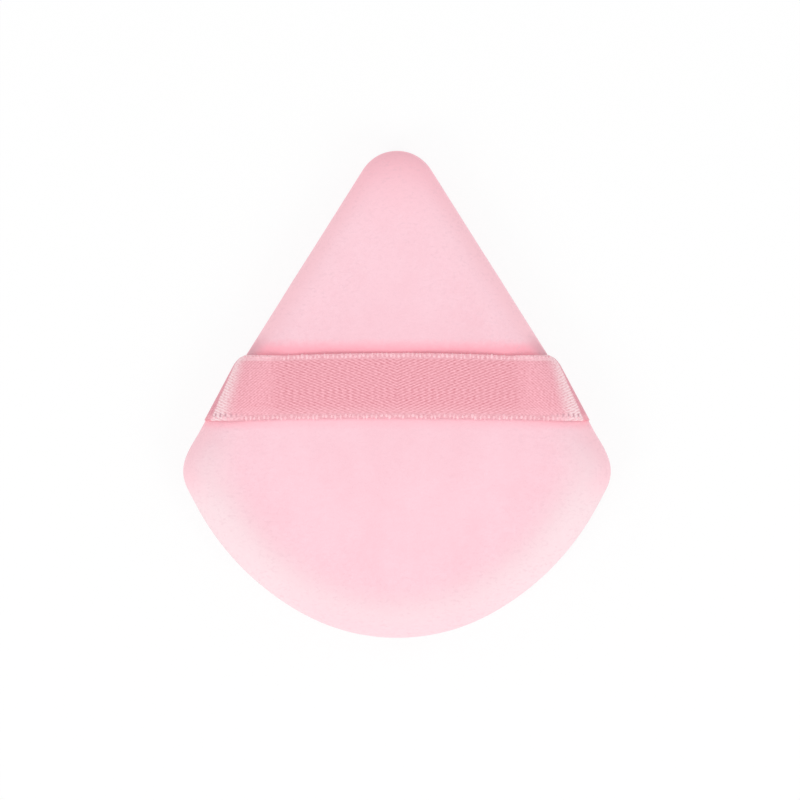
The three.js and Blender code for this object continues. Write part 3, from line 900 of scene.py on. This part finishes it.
def weft_finish():
    """The weft's thread: the ribbon's shade, bleached at the turns."""
    weft = Finish("rose_weft", Roughness=0.6, Sheen_Weight=0.2, Specular_IOR_Level=0.35)
    place = weft.place()
    shade = weft.speckle(place, WEFT_SHADE_SIZE).band(0.2, 0.65)
    fibres = weft.speckle(place, WEFT_FIBRE_SIZE)
    weft.drive("Base Color", weft.between(shade, WEFT_DEEP, WEFT_PALE))
    weft.drive("Normal", weft.bump(fibres, WEFT_FIBRE_DEPTH, 0.6))
    return weft.material


SELVEDGE_INSET = 0.38 * MM / RIBBON_WIDTH
LOOPED_STATIONS = 19
LEAST_FULLNESS = 0.8
weft_material = weft_finish()
selvedge_turns = weft_turns()

# One line near each edge carries the loops. They lie flatter where the ribbon is pressed over the rim, and
# end before its fold.
count = SPAN_STATIONS + LOOPED_STATIONS + 1
edge_shares = (SELVEDGE_INSET, 1 - SELVEDGE_INSET)
edge_lines = np.array([ribbon_row(across)[:count] for across in edge_shares])
edge_lines[:, 0, 0] = WEFT_PITCH / 2
edge_ids = np.arange(2 * count).reshape(2, count)
edge_steps = np.stack([edge_ids[:, :-1], edge_ids[:, 1:]], axis=-1).reshape(-1, 2)
turned_down = np.clip((np.arange(count) - SPAN_STATIONS) / LOOPED_STATIONS, 0, 1)
fullness = np.tile(1 - (1 - LEAST_FULLNESS) * turned_down, 2)
for side, hand in HANDS.items():
    points = edge_lines.reshape(-1, 3) * (hand, 1, 1)
    selvedge = new_piece("selvedge_" + side, points, (), edge_steps.tolist())
    mark(selvedge, "fullness", fullness)
    selvedge_turns.make(
        selvedge,
        Material=weft_material,
        Pitch=WEFT_PITCH,
        Width=WEFT_WIDTH,
        Length=WEFT_LENGTH,
        Height=WEFT_HEIGHT,
        Unevenness=WEFT_UNEVENNESS,
    )
    follow_strap(selvedge, hand)

# Seam threads: a lockstitch of pink sewing thread runs round the rim through both turnings, from one end of
# the gap left in the bottom, over the tip, to the other. The needle thread lies on the back turning and the
# bobbin thread on the front one, and they cross at each hole.
THREAD = 0.3 * MM
STITCH_INSET = 2.27 * MM
STITCH_PITCH = 4 * MM
CLOSING_GAP = 30 * MM
POINTS_PER_STITCH = 10
CAUGHT_SHARE = (0.45, 0.95)
LAID_HEIGHT = 0.95 * MM
THREAD_SIDES = 10
PLY_PITCH = 1.6 * MM
PLY_DEPTH = 0.05 * MM
THREAD_DEEP = (0.80, 0.36, 0.43, 1.0)
THREAD_PALE = (0.95, 0.50, 0.57, 1.0)


def laid_thread():
    """A round thread along a line that lies at one height and goes through to another at each stitch."""
    thread = Making("laid_thread", "Pitch", "Thread", "Laid", "Caught")
    lines = thread.node("GeometryNodeMeshToCurve", None, {"Mesh": thread.input("Lines")})
    inputs = {"Curve": lines, "Length": thread.input("Pitch") / POINTS_PER_STITCH}
    walked = thread.node("GeometryNodeResampleCurve", {"mode": "LENGTH"}, inputs)
    step = thread.node("GeometryNodeInputIndex") / POINTS_PER_STITCH
    near_hole = (step - step.floor() - 0.5).size() * 2
    caught = near_hole.band(*CAUGHT_SHARE)
    height = thread.input("Laid") + (thread.input("Caught") - thread.input("Laid")) * caught
    inputs = {"Geometry": walked, "Offset": thread.vector(0.0, 0.0, height)}
    stitched = thread.node("GeometryNodeSetPosition", None, inputs)
    inputs = {"Resolution": THREAD_SIDES, "Radius": thread.input("Thread") / 2}
    profile = thread.node("GeometryNodeCurvePrimitiveCircle", None, inputs)
    inputs = {"Curve": stitched, "Profile Curve": profile, "Fill Caps": True}
    thread.close(thread.node("GeometryNodeCurveToMesh", None, inputs))
    return thread


def thread_finish():
    """Spun sewing thread: two plies that wind round each other, with a slight fuzz."""
    thread = Finish("pink_thread", Roughness=0.7, Sheen_Weight=0.3, Specular_IOR_Level=0.3)
    place = thread.place()
    plies = thread.node(
        "ShaderNodeTexWave",
        {"bands_direction": "DIAGONAL"},
        {"Vector": place, "Scale": 1 / PLY_PITCH, "Distortion": 1.5},
        1,
    )
    thread.drive("Base Color", thread.between(plies, THREAD_DEEP, THREAD_PALE))
    thread.drive("Normal", thread.bump(plies, PLY_DEPTH, 0.5))
    return thread.material


SEAM_LINE_POINTS = 400
thread_material = thread_finish()
sewing_thread = laid_thread()
RIM_LENGTH = np.linalg.norm(np.diff(OUTLINE, axis=0), axis=1).sum()
GAP_SHARE = CLOSING_GAP / 2 / RIM_LENGTH


def stitch_line(name, first, last, inset, count):
    """A thread's line along the rim, between two shares of the way round."""
    plan = drawn_in(np.linspace(first, last, count), np.full(count, inset))
    points = np.column_stack([plan, np.full(count, SEAM_Z)])
    return new_piece(name, points, (), [(place, place + 1) for place in range(count - 1)])


for name, side in (("needle_thread", 1), ("bobbin_thread", -1)):
    line = stitch_line(name + "_laid", GAP_SHARE, 1 - GAP_SHARE, STITCH_INSET, SEAM_LINE_POINTS)
    sewing_thread.make(
        line,
        Material=thread_material,
        Pitch=STITCH_PITCH,
        Thread=THREAD,
        Laid=side * LAID_HEIGHT,
        Caught=side * THREAD / 2,
    )
    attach(line, "pad")
    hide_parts(name)

# Foam core: a wedge of soft open-celled cosmetic foam, cut smaller than the cover by its turnings and pushed
# in through the gap in the bottom. It fills the cover and gives it its crown.
CORE_INSET = 5.1 * MM
CORE_EDGE = 2.4 * MM
CORE_CLEARANCE = 0.95 * MM
CELL_SIZE = 0.35 * MM
CELL_DEPTH = 0.15 * MM
FOAM_CELL = (0.72, 0.66, 0.58, 1.0)
FOAM_WALL = (0.93, 0.88, 0.80, 1.0)


def foam_section(rise, crown):
    """Inset and height of each ring of the core: a face under the cover's and a rounded edge."""
    inward = np.linspace(1, 0, FLAT_RINGS + 1)
    roll = np.linspace(RIGHT_ANGLE, 0, ROLL_RINGS + 1)[1:]
    insets = [CORE_INSET + CORE_EDGE + (REACH - CORE_INSET - CORE_EDGE) * inward]
    insets.append(CORE_INSET + CORE_EDGE * (1 - np.cos(roll)))
    height = rise - CORE_CLEARANCE
    heights = [height + crown * np.sin(inward * RIGHT_ANGLE) ** 2, height * np.sin(roll)]
    return np.concatenate(insets), np.concatenate(heights)


def foam_finish():
    """Open-celled foam: pale, with round cells a third of a millimetre across."""
    foam = Finish("cream_foam", Roughness=0.95, Specular_IOR_Level=0.15)
    cells = foam.node("ShaderNodeTexVoronoi", None, {"Vector": foam.place(), "Scale": 1 / CELL_SIZE})
    walls = cells.band(0.15, 0.6)
    foam.drive("Base Color", foam.between(walls, FOAM_CELL, FOAM_WALL))
    foam.drive("Normal", foam.bump(walls, CELL_DEPTH, 0.7))
    return foam.material


def foam_core():
    """The core as one closed mesh, of a back and a front half that share their edge."""
    core = net_ring <= FLAT_RINGS + ROLL_RINGS
    ids = np.cumsum(core) - 1
    faces = ids[net_faces[core[net_faces].all(axis=1)]]
    edge = net_ring[core] == FLAT_RINGS + ROLL_RINGS
    shares = net_shares()[core]
    halves = []
    for rise, crown, outward in ((BACK_RISE, CROWN, 1), (FRONT_RISE, 0, -1)):
        insets, heights = foam_section(rise, crown)
        plan = drawn_in(shares, insets[net_ring[core]])
        halves.append(np.column_stack([plan, SEAM_Z + outward * heights[net_ring[core]]]))
    lower = np.where(edge, np.arange(len(edge)), len(edge) + np.cumsum(~edge) - 1)
    points = np.concatenate([halves[0], halves[1][~edge]])
    return new_piece("foam_core", points, np.concatenate([faces, lower[faces][:, ::-1]]))


foam = settle(foam_core())
foam.data.materials.append(foam_finish())
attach(foam, "pad")
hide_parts("sponge_core")

# Closing thread: once the core is in, the gap in the bottom is sewn up from side to side through both
# turned-in edges.
CLOSING_INSET = 1.9 * MM
CLOSING_PITCH = 3 * MM
CLOSING_LINE_POINTS = 120
closing = stitch_line("closing_thread_laid", -GAP_SHARE, GAP_SHARE, CLOSING_INSET, CLOSING_LINE_POINTS)
sewing_thread.make(
    closing,
    Material=thread_material,
    Pitch=CLOSING_PITCH,
    Thread=THREAD,
    Laid=LAID_HEIGHT,
    Caught=-LAID_HEIGHT,
)
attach(closing, "pad")
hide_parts("closing_thread")

# Stage: a plain white floor under the puff, soft light mostly from the side of its round end, and a long lens
# straight above it.
FLOOR_HALF = 1.5
FLOOR_Z = -0.05 * MM
FLOOR_WHITE_SHARE = 0.88
WHITE = (1.0, 1.0, 1.0, 1.0)
PAPER = (0.93, 0.93, 0.93, 1.0)
ROOM_STRENGTH = 0.7
floor_corners = np.array([(-1, -1, 0), (1, -1, 0), (1, 1, 0), (-1, 1, 0)]) * FLOOR_HALF
floor = new_piece("floor", floor_corners + (0, 0, FLOOR_Z), [(0, 1, 2, 3)])


def shows_white(graph):
    """1 for the rays that should meet a white background."""
    camera_ray = graph.node("ShaderNodeLightPath", output="Is Camera Ray")
    outputs = camera_ray.socket.node.outputs
    glossy_ray = Wire(graph, outputs["Is Glossy Ray"])
    through_ray = Wire(graph, outputs["Is Transmission Ray"])
    any_ray = camera_ray + glossy_ray + through_ray
    return any_ray.math("MINIMUM", any_ray, 1.0)


paper = Finish("white_paper", Roughness=1.0, Base_Color=PAPER)
matt = Wire(paper, paper.shader.outputs[0])
glow = paper.node("ShaderNodeEmission", None, {"Color": WHITE, "Strength": 1.0})
share = shows_white(paper) * FLOOR_WHITE_SHARE
mixed = paper.node("ShaderNodeMixShader", None, {0: share, 1: matt, 2: glow})
paper.connect(paper.tree.nodes["Material Output"].inputs["Surface"], mixed)
floor.data.materials.append(paper.material)

world = bpy.data.worlds.new("soft_room")
world.use_nodes = True
bpy.context.scene.world = world
room = Graph(world.node_tree)
world.node_tree.nodes.clear()
room_light = room.node("ShaderNodeBackground", None, {"Color": WHITE, "Strength": ROOM_STRENGTH})
room_white = room.node("ShaderNodeBackground", None, {"Color": WHITE, "Strength": 1.0})
room_mix = room.node("ShaderNodeMixShader", None, {0: shows_white(room), 1: room_light, 2: room_white})
room.connect(world.node_tree.nodes.new("ShaderNodeOutputWorld").inputs["Surface"], room_mix)

# Two lamps on each side. A lamp's place is that on the right, and its power is in watts.
LAMP_SIZE = 0.4
KEY_PLACE = (0.42, -0.42, 0.5)
KEY_POWER = 1.5
FILL_PLACE = (0.6, 0.3, 0.4)
FILL_POWER = 0.5


def soft_lamp(name, hand, place, power):
    """A square soft box on one side, facing the puff."""
    lamp = bpy.data.lights.new(name, "AREA")
    lamp.size = LAMP_SIZE
    lamp.energy = power
    holder = bpy.data.objects.new(name, lamp)
    holder.location = Vector(place) * Vector((hand, 1, 1))
    holder.rotation_euler = holder.location.to_track_quat("Z", "Y").to_euler()
    bpy.context.scene.collection.objects.link(holder)


for side, hand in HANDS.items():
    soft_lamp("key_" + side, hand, KEY_PLACE, KEY_POWER)
    soft_lamp("fill_" + side, hand, FILL_PLACE, FILL_POWER)

# The photograph's frame is 800 pixels square, with the puff's middle at this pixel. The scale is that at the
# height of the rim.
FRAME_PIXELS = 800
MIDDLE_PIXEL = (397.0, 394.0)
PIXELS_PER_METRE = 6112.5
CAMERA_HEIGHT = 1.2
camera = bpy.data.objects.new("camera", bpy.data.cameras.new("camera"))
view_width = FRAME_PIXELS / PIXELS_PER_METRE
camera.data.lens = camera.data.sensor_width * (CAMERA_HEIGHT - SEAM_Z) / view_width
camera.location = (
    (FRAME_PIXELS / 2 - MIDDLE_PIXEL[0]) / PIXELS_PER_METRE,
    (MIDDLE_PIXEL[1] - FRAME_PIXELS / 2) / PIXELS_PER_METRE,
    CAMERA_HEIGHT,
)
bpy.context.scene.collection.objects.link(camera)
bpy.context.scene.camera = camera
bpy.context.scene.view_settings.view_transform = "Standard"
